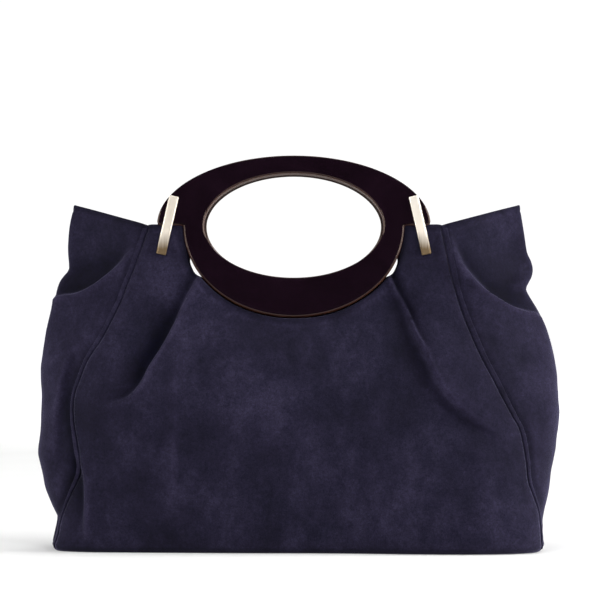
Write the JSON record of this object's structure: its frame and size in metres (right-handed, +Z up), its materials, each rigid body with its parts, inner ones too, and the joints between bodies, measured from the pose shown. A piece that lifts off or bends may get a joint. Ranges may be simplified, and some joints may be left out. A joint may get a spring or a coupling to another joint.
{
  "type": "ring handle suede bag",
  "caption": "Wide slouchy suede bag with flared gusset wings, a stiffened base and rigid oval ring handles in its necklines, clamped to the panels by metal bars.",
  "frame": {"origin": "middle of the base, on the surface that the bag stands on", "axes": "+X along the bag's width to the right as seen from the front, the front faces -Y, +Z up"},
  "size_m": [0.3818, 0.128, 0.2909],
  "materials": {
    "suede": "napped suede, midnight blue, mottled",
    "facing": "smooth leather",
    "lining": "cotton twill",
    "zip_tape": "woven tape",
    "board": "stiffener board",
    "resin": "polished cast resin, almost black with a brown edge",
    "bar_metal": "pale champagne plate, brushed lengthwise",
    "zip_metal": "satin",
    "hardware": "satin nickel"
  },
  "bodies": {
    "bag": {"front_panel": "suede", "back_panel": "suede", "left_gusset": "suede", "right_gusset": "suede", "front_left_welt": "suede", "front_right_welt": "suede", "back_left_welt": "suede", "back_right_welt": "suede", "base_panel": "suede", "base_board": "board", "lining_base": "lining", "lining_front": "lining", "lining_back": "lining", "lining_left": "lining", "lining_right": "lining", "left_mouth_facing": "facing", "right_mouth_facing": "facing", "pocket_back": "lining", "snap_stud": "hardware", "snap_socket": "hardware", "zip_tape_upper": "zip_tape", "zip_tape_lower": "zip_tape", "zip_chain": "zip_metal"},
    "front_handle": {"front_ring": "resin", "front_left_tab": "suede", "front_right_tab": "suede", "front_left_bar": "bar_metal", "front_right_bar": "bar_metal", "front_left_back_bar": "hardware", "front_right_back_bar": "hardware", "front_left_low_screw": "hardware", "front_left_high_screw": "hardware", "front_right_low_screw": "hardware", "front_right_high_screw": "hardware"},
    "back_handle": {"back_ring": "resin", "back_left_tab": "suede", "back_right_tab": "suede", "back_left_bar": "bar_metal", "back_right_bar": "bar_metal", "back_left_back_bar": "hardware", "back_right_back_bar": "hardware", "back_left_low_screw": "hardware", "back_left_high_screw": "hardware", "back_right_low_screw": "hardware", "back_right_high_screw": "hardware"},
    "zip_slider": {"zip_slider": "zip_metal"},
    "zip_pull": {"zip_pull": "zip_metal"}
  },
  "joints": [
    {"name": "front_handle_bend", "type": "hinge", "parent": "bag", "child": "front_handle", "pos_m": [0, -0.0297, 0.2142], "axis": [1, 0, 0], "range_deg": [-7, 20]},
    {"name": "back_handle_bend", "type": "hinge", "parent": "bag", "child": "back_handle", "pos_m": [0, 0.0297, 0.2142], "axis": [-1, 0, 0], "range_deg": [-7, 20]},
    {"name": "zip_slide", "type": "slide", "parent": "bag", "child": "zip_slider", "axis": [1, 0, 0], "range_m": [0, 0.132]},
    {"name": "zip_pull_swing", "type": "hinge", "parent": "zip_slider", "child": "zip_pull", "pos_m": [-0.066, 0.0501, 0.1], "axis": [0, 0, -1], "range_deg": [0, 175]}
  ]
}
